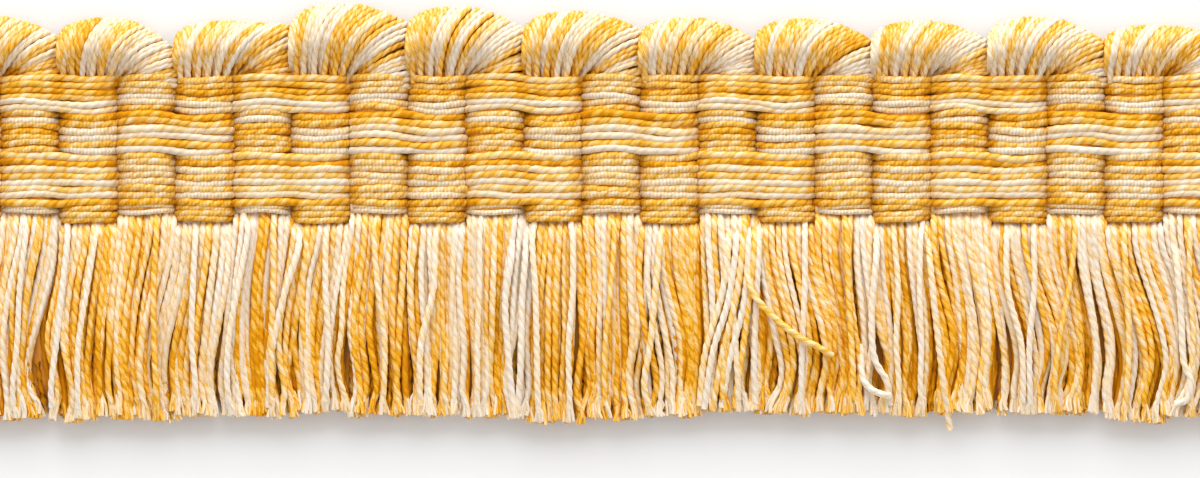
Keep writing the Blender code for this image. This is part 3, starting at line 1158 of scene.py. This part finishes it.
@dataclass
class Skirt:
    """The cut yarns that hang below the heading."""

    ribs: Ribs
    points: int = 60  # of a yarn's way below the heading
    leaning: int = 30  # single yarns that lie over their neighbours
    spread: float = 0.008  # how much closer to the middle a root stands than its lock's table says
    widening: float = 2.1  # width of a gap between locks, as a share of the table's
    clump: float = 2.6  # yarns of a lock that cling together
    floor_gap: float = 0.47 * MM  # least height of a yarn's middle
    strand_spread: float = 0.34 * MM  # how far the loose strands of an open end stand to the sides

    def __post_init__(self) -> None:
        """Read where each tuft's tip lies from the frame's comb."""
        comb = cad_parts["skirt"].data
        points = np.array([v.co[:] for v in comb.vertices])
        rib = np.clip(((points[:, 0] - self.ribs.left) / self.ribs.width).astype(int), 0, self.ribs.count - 1)
        self.tips = [float(points[rib == k, 1].min()) for k in range(self.ribs.count)]
        # The skirt spreads a little: roots stand nearer the middle than tips do.
        middle = self.ribs.count / 2
        self.roots = np.array([0.0, *(lock.root + self.spread * (middle - lock.root) for lock in LOCKS)])
        self.ends = np.array([0.0, *(lock.tip for lock in LOCKS)])

    def lock_of(self, root: float) -> tuple[int, float]:
        """Find the lock that a yarn belongs to.

        Args:
            root: The yarn's place along the heading, in ribs.

        Returns:
            The lock's number, and the yarn's place in it, from 0 at its left edge to 1.
        """
        k = int(min(np.searchsorted(self.roots, root, side="right") - 1, len(LOCKS) - 1))
        return k, (root - self.roots[k]) / (self.roots[k + 1] - self.roots[k])

    def yarn(self, root: float, layer: Layer, lift: float, rng: np.random.Generator) -> Curve:
        """Work out one hanging yarn's way.

        Args:
            root: Its place along the heading, in ribs.
            layer: Its layer.
            lift: How much higher than its layer it lies.
            rng: Source of its small differences.

        Returns:
            The way, from inside the heading to the tip.
        """
        ribs, parted = self.ribs, layer.parted
        k, inside = self.lock_of(root)
        lock, before = LOCKS[k], LOCKS[k - 1] if k else Lock(0.0, 0.0, 0.5, 0.0, "")
        left, right = self.ends[k], self.ends[k + 1]
        tip = left + (right - left) * inside
        cleared = [self.widening * gap * MM / ribs.width / 2 for gap in (before.gap_mm, lock.gap_mm)]
        drawn = (left + cleared[0]) + (right - cleared[1] - left - cleared[0]) * inside
        bound = ribs.bound_at(min(int(root), ribs.count - 1))
        end = self.tips[int(np.clip(tip, 0, ribs.count - 1))]
        end += (0.12 * rng.normal() + (0.6 * rng.random() if rng.random() < 0.1 else 0.0)) * MM
        s = np.linspace(0, 1, self.points)

        # Each yarn swings over to its lock's tip, and the lock's edges draw in where the gap opens.
        opens = (1 - inside) * before.parts + inside * lock.parts
        swing = 1.4 * ease((s - 0.08) / (0.64 + 0.08 * rng.normal(0, 0.25))) - 0.4 * ease((s - 0.72) / 0.28)
        drawing = ease((s - 0.44 - opens * 0.25) / 0.3) * (1 - 1.1 * ease((s - 0.85) / 0.13)) * parted
        x = ribs.x(root + (tip - root) * swing + (drawn - tip) * drawing)
        x = x + sway(s, 0.32 * MM * math.sin(5.3 * k), 1.0 + 0.5 * math.sin(9.1 * k))

        # Yarns of a lock cling together in twos and threes, which sway and rise as one.
        clumps = max(1, round(len(lock.tones) / self.clump))
        clump = min(int(inside * clumps), clumps - 1)
        shared = np.random.default_rng(50 * k + clump)
        bunched = max(0.0, 2 * parted - 1)
        end = end + 0.15 * MM * shared.normal()
        cling = 0.36 * bunched * ease((s - 0.55) / 0.3) * (1 - 0.8 * ease((s - 0.84) / 0.16))
        x = x + ((clump + 0.5) / clumps - inside) * (right - left) * ribs.width * cling
        x = x + sway(s, 0.2 * MM * shared.normal() * bunched, 1.1 + shared.random())
        together = sway(s, 0.26 * MM * shared.normal() * bunched, 0.85)

        # Small differences of its own.
        x = x + sway(s, 0.17 * MM * rng.normal(), rng.uniform(1.0, 2.2))
        x = x + 0.26 * MM * rng.normal() * ease((s - 0.12) / 0.6)
        ripple = 0.10 * MM * rng.normal() * np.sin(2 * math.pi * (2.3 * s + rng.random()))
        x = x + ripple * ease((s - 0.5) / 0.3)
        x = x + rng.normal(0.10, 0.22) * MM * ease((s - 0.85) / 0.15)
        x = x - 0.25 * MM * np.sin(2 * math.pi * s) * (tip < root)
        y = bound + (end - bound) * s

        # Tufts are round at the heading, locks are round below it, and both flatten to the tips.
        inner, swell, last = (height + lift for height in layer.heights)
        off_crown, off_middle = abs(2 * (root % 1.0) - 1), 2 * inside - 1
        tuft = 0.6 * MM * off_crown**2 * (1 - ease(s / 0.6))
        hanging = ease((s - 0.05) / 0.3) * (1 - ease((s - 0.8) / 0.2))
        z = swell + (last - swell) * s**1.3 - tuft - 0.35 * MM * parted * off_middle**4 * hanging
        z = z - (swell - inner + 1.1 * MM * off_crown**5) * (1 - ease(s / 0.055))
        z = z + sway(s, 0.18 * MM * rng.normal(), rng.uniform(1.2, 2.5), 0.25) + together
        hidden = inner - 1.5 * MM * off_crown**5
        tucked = np.array([[x[0], bound + 1.1 * MM, hidden], [x[0], bound + 0.6 * MM, hidden]])
        way = np.vstack([tucked, np.stack([x, y, z], 1)])
        way[:, 2] = np.maximum(way[:, 2], self.floor_gap)
        return way

    def tone_at(self, root: float, layer: Layer, rng: np.random.Generator) -> Tone:
        """Choose a yarn's dye.

        Args:
            root: Its place along the heading, in ribs.
            layer: Its layer.
            rng: Source of the dyes that are drawn at random.

        Returns:
            The dye.
        """
        k, inside = self.lock_of(root)
        tones = LOCKS[k].tones
        placed, strewn = tones[min(int(inside * len(tones)), len(tones) - 1)], str(rng.choice(list(tones)))
        tone = Tone(strewn if rng.random() < layer.strewn else placed)
        # Painted shade: the deep layers get a deeper dye, as the light that reaches them has taken up the dye
        # of the yarns above.
        return DEEPER_IN_SHADE[tone] if layer.sunk > 0.5 else tone

    def lay(self, layer: Layer, hank: Hank, ribs: Iterable[int], frayed: Hank | None = None) -> None:
        """Lay one layer of yarns over some ribs.

        Args:
            layer: The layer.
            hank: Where the yarns go.
            ribs: The ribs that get them.
            frayed: Where the loose strands go, if the yarns' ends are open.
        """
        for rib in ribs:
            rng = np.random.default_rng(layer.seed + rib)
            for j in range(layer.per_rib):
                u = (j + 0.5 + layer.shift) / layer.per_rib + rng.normal(0, 0.09) / layer.per_rib
                self.lay_yarn(rib + float(np.clip(u, 0.01, 0.99)), layer, hank, frayed, rng)

    def lay_yarn(self, root: float, layer: Layer, hank: Hank, frayed: Hank | None,
                 rng: np.random.Generator) -> None:
        """Lay one hanging yarn.

        Args:
            root: Its place along the heading, in ribs.
            layer: Its layer.
            hank: Where it goes.
            frayed: Where its loose strands go, if its end is open.
            rng: Source of its small differences.
        """
        low, tone = self.ribs.low, self.tone_at(root, layer, rng)
        way = self.yarn(root, layer, rng.normal(0, 0.16) * MM, rng)
        fray = rng.uniform(2.1, 3.6) * MM
        if frayed:
            self.fray(frayed, way, fray, tone, rng, 4 if layer.sunk else 5)
        tip = way[-1, 1]
        cut = 0.5 * fray if frayed else 0.3 * MM
        way = spaced(way[(way[:, 1] > tip + cut) & (way[:, 1] < low - layer.starts)], even(layer.gap_mm))
        opened = ease(1.1 - (way[:, 1] - tip) / fray)
        taper = rng.uniform(0.86, 1.1) * (1 - 0.45 * opened) if frayed else 1.0
        # Painted shade: dye deeper and darker lower down, where the yarns close up; painted light at the open
        # tips.
        down = (low - way[:, 1]) / (low - tip)
        sunk = 0.15 * ease(down / 0.3) + 0.38 * ease((down - 0.35) / 0.4)
        sunk = sunk - (0.42 + 0.5 * layer.sunk) * ease((down - 0.80) / 0.15) - 0.15
        hank.add(way, tone, rng, taper, layer.sunk + sunk)

    def fray(self, hank: Hank, way: Curve, length: float, tone: Tone, rng: np.random.Generator,
             count: int) -> None:
        """Open a yarn's cut end into loose strands.

        Args:
            hank: Where the strands go.
            way: The yarn's way to its tip.
            length: How far up the yarn is open.
            tone: Its dye.
            rng: Source of the strands' differences.
            count: How many strands it opens into.
        """
        end = way[way[:, 1] < way[-1, 1] + length]
        s = np.linspace(0, 1, len(end))
        for k in range(count):
            side = (2 * k / (count - 1) - 1 + rng.normal(0, 0.2)) * self.strand_spread
            curl = 0.13 * MM * rng.normal() * np.sin(math.pi * s * rng.uniform(1.2, 2.2))
            drop, rise = rng.normal(0, 0.1) * MM * s, rng.normal(0.1, 0.2) * MM * s
            loose = end + np.stack([side * s**0.7 + curl, drop, rise], 1)
            loose[:, 2] = np.maximum(loose[:, 2], 0.3 * MM)
            loose = spaced(loose, even(0.75))
            dye = Tone.IVORY if rng.random() < 0.08 else LIGHTER[tone] if rng.random() < 0.2 else tone
            # The loose strands get a little painted shade.
            hank.add(loose, dye, rng, rng.uniform(0.8, 1.2) * np.linspace(1.0, 0.85, len(loose)), 0.1)

    def build(self, materials: dict[str, bpy.types.Material]) -> list[bpy.types.Object]:
        """Lay every layer of the skirt.

        Args:
            materials: The finishes by name.

        Returns:
            The pieces, front layers first.
        """
        fine = YarnGrade("skirt", radius=0.435 * MM, waist=0.85, twist_pitch=2.8 * MM)
        calm = YarnGrade("skirt_second", radius=0.45 * MM, waist=0.96, twist_pitch=3.4 * MM)
        plain = YarnGrade("skirt_under", radius=0.42 * MM, waist=0.95, twist_pitch=6 * MM)
        wisp = YarnGrade("frayed_ends", radius=0.245 * MM, sides=5, waist=1.0, twist_pitch=6 * MM)
        low, high = Hank("skirt_low_bound_tufts", fine), Hank("skirt_high_bound_tufts", fine)
        strays, second = Hank("skirt_stray_yarns", fine), Hank("skirt_second_layer", calm)
        wisps, under = Hank("skirt_frayed_ends", wisp), Hank("skirt_under_layers", plain)
        every = range(self.ribs.count)
        self.lay(FRONT_LAYER, low, every[::2], wisps)
        self.lay(FRONT_LAYER, high, every[1::2], wisps)
        rng = np.random.default_rng(7)
        self.stray(strays, rng)
        self.lean_across(strays, wisps, rng)
        self.lay(SECOND_LAYER, second, every, wisps)
        for layer in UNDER_LAYERS:
            self.lay(layer, under, every)
        shown = [hank.build(materials["yarn"], "skirt_yarn") for hank in (low, high, strays, second, wisps)]
        return [*shown, under.build(materials["shaded"], "skirt_yarn"), self.core(materials["packed"])]

    def stray(self, hank: Hank, rng: np.random.Generator) -> None:
        """Lay the yarns that leave their locks.

        Args:
            hank: Where they go.
            rng: Source of their differences.
        """
        for tone, way in STRAYS:
            # A start inside the heading is sunk, so that no stub stands over the threads.
            points = [
                (self.ribs.x(rib), self.ribs.low - below * MM, (height - 1.6 * (below < 0)) * MM)
                for rib, below, height in way
            ]
            hank.add(spaced(smooth_way(points), even(0.34)), Tone(tone), rng)

    def lean_across(self, hank: Hank, frayed: Hank, rng: np.random.Generator) -> None:
        """Lay single yarns that lie over their neighbours at a slight slant.

        Args:
            hank: Where they go.
            frayed: Where the loose strands of their open ends go.
            rng: Source of their differences.
        """
        shares, heights, slants = np.array(LEANING).T
        for k in range(self.leaning):
            root = (k + rng.uniform(0.2, 0.8)) * self.ribs.count / self.leaning
            root = int(root) + 0.15 + 0.7 * (root % 1.0)  # clear of the seams
            slant = rng.normal(0, 0.22) + 0.02 * (root - self.ribs.count / 2)
            end, start = self.tips[min(int(root), self.ribs.count - 1)], self.ribs.bound_at(int(root))
            wander = slants * slant + rng.normal(0, 0.03, len(slants))
            wander[0] = wander[1]
            x, y = self.ribs.x(root + wander), start + (end - start) * shares
            yarn = smooth_way(np.stack([x, y, heights * MM], 1))
            tone, fray = Tone(rng.choice(list("wwcmgg"))), rng.uniform(2.1, 3.2) * MM
            self.fray(frayed, yarn, fray, tone, rng, 5)
            yarn = spaced(yarn[yarn[:, 1] > end + fray / 2], even(0.36))
            hank.add(yarn, tone, rng, rng.uniform(0.85, 1.0))

    def core(self, material: bpy.types.Material) -> bpy.types.Object:
        """Build the ridged body of packed yarn under the skirt's front layers.

        Args:
            material: What it is made of.

        Returns:
            The piece.
        """
        ribs = self.ribs
        columns, rows = 12 * ribs.count, 10
        margin, ridge, flat = 0.3 * MM, 0.1 * MM, 1.05 * MM
        low, top = max(self.tips) + 1.3 * MM, ribs.low + 1.5 * MM

        def back(column: int, share: float) -> Place:
            """Return the place on the flat back of a point, as for front()."""
            x = ribs.left + margin + (ribs.width * ribs.count - 2 * margin) * column / columns
            return x, low + (top - low) * share, flat

        def front(column: int, share: float) -> Place:
            """Place a point on the ridged front, which thins to the tips.

            Args:
                column: Its column, from the left.
                share: Its share of the way up.

            Returns:
                Its place.
            """
            x, y, _ = back(column, share)
            crown = 0.45 * MM * (2 * ((x - ribs.left) / ribs.width % 1.0) - 1) ** 2
            hidden = 0.9 * MM * (share == 1.0)  # its top edge dips under the heading's threads
            z = 1.35 * MM + 1.5 * MM * share**0.7 - crown - hidden + (ridge if column % 2 else -ridge)
            return x, y, max(z, flat + 0.1 * MM)

        return finish_piece(slab("skirt_core", columns, rows, front, back), material)


# By a strand's place in its sheaf, from 0 at the left to 1: how far along its foot is, in mm.
FEET = ((0.0, 0.2), (0.1, 0.6), (0.2, 1.5), (0.3, 2.7), (0.45, 4.6), (0.6, 6.0), (0.75, 6.8), (1.0, 7.15))

# By a strand's place in its sheaf: how far along and how far up it sets out.
SETTING_OUT = (
    (0.00, -0.12, 1.00),
    (0.30, -0.06, 1.00),
    (0.50, 0.10, 1.00),
    (0.70, 0.50, 0.80),
    (0.85, 0.90, 0.45),
    (1.00, 1.00, 0.05),
)


@dataclass
class ScallopLoop:
    """One loop: a sheaf of strands that turns over from one rib to the next."""

    ribs: Ribs
    index: int
    strands: int = 31
    points: tuple[int, int] = (40, 25)  # of a strand's way over the front and along the back
    shrink: float = 0.78 * MM  # how far the core lies inside the frame's solid
    core_top: tuple[float, float] = (1.0 * MM, 5.0 * MM)  # most height of the core at its foot and further up

    def __post_init__(self) -> None:
        """Read the loop's outline from the frame."""
        points = np.array([v.co[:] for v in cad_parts[self.node].data.vertices])
        self.start = self.ribs.x(2 * self.index)
        right = points[:, 0] > points[:, 0].max() - 0.1 * MM
        self.reach = float(points[:, 1].max()) - self.ribs.top
        self.end_reach = float(points[right, 1].max()) - self.ribs.top
        self.thick = float(points[:, 2].max())

    @property
    def number(self) -> str:
        """Return the loop's number from the left, as its pieces' names give it."""
        return f"{self.index + 1:02d}"

    @property
    def node(self) -> str:
        """Return the name of the frame's node that the loop stands for."""
        return f"loop_{self.number}"

    def rim(self) -> Curve:
        """Work out where the strands turn over.

        Returns:
            The rim, from the top left round to the low right, from the loop's lower left corner.
        """
        pitch, reach, end = 2 * self.ribs.width, self.reach, self.end_reach
        foot = -SHEAVES[self.index].foot_mm * MM
        outline = [
            (0.10 * MM, 0.70 * reach, 0),
            (0.75 * MM, 0.84 * reach, 0),
            (2.6 * MM, 0.955 * reach, 0),
            (0.38 * pitch, reach, 0),
            (0.60 * pitch, 0.93 * reach + 0.07 * end, 0),
            (0.82 * pitch, 0.55 * reach + 0.45 * end, 0),
            (1.0 * pitch, end, 0),
            (1.06 * pitch, 0.62 * end + 0.38 * foot, 0),
            (1.04 * pitch, foot, 0),
        ]
        return spaced(smooth_way(outline), even(0.05))

    def strand(self, f: float, rim: Curve, rng: np.random.Generator, layer: int) -> Curve:
        """Work out one strand's way over the front, round the rim and along the back.

        Args:
            f: Its place in the sheaf, from 0 at the left to 1.
            rim: The rim's points.
            rng: Source of its small differences.
            layer: Which of three layers it comes from at its foot.

        Returns:
            The way.
        """
        ribs = self.ribs
        corner = np.array([self.start, ribs.top])
        reach = corner + (rim[int(round(f * (len(rim) - 1)))][:2] - (0.0, 0.41 * MM))
        last = min(-0.4, -SHEAVES[self.index].foot_mm - 0.25) * MM
        down = -1.0 * MM + (last + 1.0 * MM) * ease((f - 0.55) / 0.45)
        foot = corner + (np.interp(f, *zip(*FEET)) * MM, down)
        places, along, up = zip(*SETTING_OUT)
        lean = np.array([np.interp(f, places, along), np.interp(f, places, up)])
        bow = foot + lean / np.linalg.norm(lean) * float(np.linalg.norm(reach - foot)) * 0.62

        # The front runs from the foot to the rim in one bow, and rises and falls on its way.
        s = np.linspace(0, 1, self.points[0])
        g = 1 - (1 - s) ** 1.25
        plan = ((1 - g) ** 2)[:, None] * foot + (2 * g * (1 - g))[:, None] * bow + (g**2)[:, None] * reach
        crown = self.thick - 0.42 * MM - 1.3 * MM * ease((f - 0.5) / 0.5)
        base = 3.5 * MM - 0.55 * MM * layer - 1.4 * MM * ease((f - 0.5) / 0.3)
        base -= (1.5 * (1 - ease(f / 0.1)) + 0.7 * ease((f - 0.88) / 0.1)) * MM  # the outer ones sink
        middle = 2.6 * MM - 0.5 * MM * ease((f - 0.7) / 0.3)
        top_at = 0.42
        rise = base + (crown - base) * ease(s / top_at)
        past_top = np.clip((s - top_at) / (1 - top_at), 0, 1)
        fall = middle + (crown - middle) * np.cos(past_top * math.pi / 2) ** 0.75
        z = np.where(s < top_at, rise, fall) + 0.08 * MM * rng.normal() * np.sin(math.pi * s)

        # The back runs down to the next rib.
        home = corner + (ribs.width + 0.4 * MM + (1 - f) * 6.4 * MM, -1.0 * MM)
        t = np.linspace(0, 1, self.points[1] + 1)[1:]
        back_plan = reach + (home - reach) * (1 - np.cos(t * math.pi / 2))[:, None]
        low = 0.45 * MM + 0.9 * MM * (layer == 1)
        back_z = low + (middle - low) * (1 - np.sin(np.clip(t / 0.35, 0, 1) * math.pi / 2))
        return np.vstack([np.column_stack([plan, z]), np.column_stack([back_plan, back_z])])

    def build(self, materials: dict[str, bpy.types.Material]) -> list[bpy.types.Object]:
        """Lay the loop's strands over its core.

        Args:
            materials: The finishes by name.

        Returns:
            The strands and the core.
        """
        rng = np.random.default_rng(1200 + self.index)
        hank = Hank(f"loop_strands_{self.number}", YarnGrade(self.node, radius=0.39 * MM, waist=0.84))
        rim, tones, top = self.rim(), SHEAVES[self.index].tones, self.ribs.top
        for i in range(self.strands):
            f = float(np.clip((i + 0.5 + rng.normal(0, 0.16)) / self.strands, 0, 1))
            way = spaced(self.strand(f, rim, rng, (0, 2, 1)[i % 3]), finer_above(1.9 * MM, 0.34, 1.0))
            # Painted shade: darker low between its neighbours at the foot, and a little on its way to the
            # rim.
            sunk = ease((3.9 * MM - way[:, 2]) / (1.9 * MM)) * (way[:, 1] < top + 1.6 * MM)
            sunk = sunk + 0.12 * ease((way[:, 1] - top - 1.2 * MM) / (2.6 * MM))
            hank.add(way, Tone(tones[i * len(tones) // self.strands]), rng, sunk=sunk)
        strands = hank.build(materials["loop"], "loop_yarn")
        core = self.core(materials["ground"])
        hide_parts(self.node)
        return [strands, core]

    def core(self, material: bpy.types.Material) -> bpy.types.Object:
        """Build the body of hidden yarn inside the loop, shrunk from the frame's solid.

        Args:
            material: What it is made of.

        Returns:
            The piece.
        """
        bm = bmesh.new()
        bm.from_mesh(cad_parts[self.node].data)
        bmesh.ops.remove_doubles(bm, verts=bm.verts[:], dist=1e-6)
        bmesh.ops.recalc_face_normals(bm, faces=bm.faces[:])
        foot, (low, high) = self.ribs.top, self.core_top
        for vert in bm.verts:
            at_foot = vert.co.y < foot + 0.4 * MM
            vert.co = vert.co - vert.normal * self.shrink
            top = low + (high - low) * ease((vert.co.y - foot) / (3.6 * MM))
            if at_foot:
                vert.co.y = foot - 0.9 * MM
            vert.co.z = min(max(vert.co.z - 0.1 * MM, 0.75 * MM), top)
        return finish_piece(smooth_mesh(bm, f"loop_core_{self.number}"), material)


# ---------------------------------------------------------------- the studio


@dataclass
class Studio:
    """Pale floor, soft light and the camera above the trim."""

    view_width: float = 148.2 * MM
    aim: tuple[float, float] = (-4.94 * MM, -3.35 * MM)
    camera_height: float = 0.9
    floor_reach: float = 3.0  # from its middle to each edge

    def floor(self) -> None:
        """Lay the floor."""
        bm = bmesh.new()
        bmesh.ops.create_grid(bm, x_segments=1, y_segments=1, size=self.floor_reach)
        mesh = smooth_mesh(bm, "floor")
        paint, wiring, shader = blank_material("floor_paint")
        wiring.feed(shader, {
            "Base Color": (0.715, 0.715, 0.715, 1), "Roughness": 0.9, "Specular IOR Level": 0.1,
        })
        mesh.materials.append(paint)
        floor = bpy.data.objects.new("floor", mesh)
        bpy.context.scene.collection.objects.link(floor)

    def lamp(self, name: str, place: Place, size: float, power: float) -> None:
        """Hang a soft square lamp that faces the trim.

        Args:
            name: Its name.
            place: Where it hangs.
            size: The length of its sides.
            power: Its power, in watts.
        """
        light = bpy.data.lights.new(name, "AREA")
        light.shape, light.size, light.energy = "SQUARE", size, power
        lamp = bpy.data.objects.new(name, light)
        lamp.location = place
        x, y, z = place
        tilt, heading = math.acos(z / math.hypot(*place)), math.atan2(-y, -x) - math.pi / 2
        lamp.rotation_euler = (tilt, 0.0, heading)
        bpy.context.scene.collection.objects.link(lamp)

    def build(self) -> None:
        """Set up floor, lights, world and camera."""
        self.floor()
        self.lamp("key", (0.0, 0.69, 0.40), 0.85, 8.8)
        self.lamp("low", (0.0, 1.2, 0.26), 0.5, 6.0)
        scene = bpy.context.scene
        scene.view_settings.view_transform = "Standard"
        scene.world = bpy.data.worlds.new("studio")
        scene.world.use_nodes = True
        tree = scene.world.node_tree
        Wiring(tree).feed(tree.nodes["Background"], {"Color": (1, 1, 1, 1), "Strength": 0.94})
        camera = bpy.data.cameras.new("camera")
        camera.sensor_width = 36.0
        camera.lens = camera.sensor_width * self.camera_height / self.view_width
        camera.clip_start, camera.clip_end = 0.01, 10.0
        view = bpy.data.objects.new("camera", camera)
        view.location = (*self.aim, self.camera_height)
        scene.collection.objects.link(view)
        scene.camera = view


# ---------------------------------------------------------------- all of it


def mix_materials() -> dict[str, bpy.types.Material]:
    """Build every finish of the trim.

    Returns:
        The finishes by name.
    """
    effect = two_ply_effect()
    # Lit and shaded copies of one yarn: each part's brightness and painted shade are set to suit how the
    # lamps fall on it.
    yarns = {
        "yarn": YarnFinish("soft_yarn", shade=0.9, groove_shade=0.94),
        "loop": YarnFinish(
            "turned_yarn", shade=0.84, groove_shade=0.9, sunk_shade=0.25, gleam=(1.0, 0.95, 0.88)
        ),
        "binding": YarnFinish("binding_yarn", shade=0.82, groove_shade=0.94, sunk_shade=0.15),
        "shaded": YarnFinish("shaded_yarn", sunk_shade=0.2),
    }
    # Dark ambers for seams, gaps and hidden cores: partly the yarn's dye, partly painted shade.
    packed = {
        "ground": PackedFinish("weft_ground", (0.56, 0.21, 0.012), (0.84, 0.46, 0.07)),
        "packed": PackedFinish("packed_yarn", (0.36, 0.12, 0.007), (0.72, 0.31, 0.025)),
    }
    made = {name: finish.material(effect) for name, finish in yarns.items()}
    return made | {name: finish.material() for name, finish in packed.items()}


def main() -> None:
    """Build the trim's looks."""
    logging.basicConfig(level=logging.INFO, format="%(name)s %(message)s")
    Studio().build()
    materials = mix_materials()
    ribs = Ribs.from_frame()
    heading, skirt = Heading(ribs), Skirt(ribs)
    ground = heading.ground(materials)
    threads = heading.bind(materials)
    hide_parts("heading")
    tufts = skirt.build(materials)
    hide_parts("skirt")
    on_it = [*threads, *tufts]
    for index in range(ribs.count // 2):
        on_it += ScallopLoop(ribs, index).build(materials)
    shown = {p.name: sum(len(f.vertices) - 2 for f in p.data.polygons) for p in [ground, *on_it]}
    LOG.info("triangles: %s, %d in all", shown, sum(shown.values()))


if __name__ == "__main__":
    main()
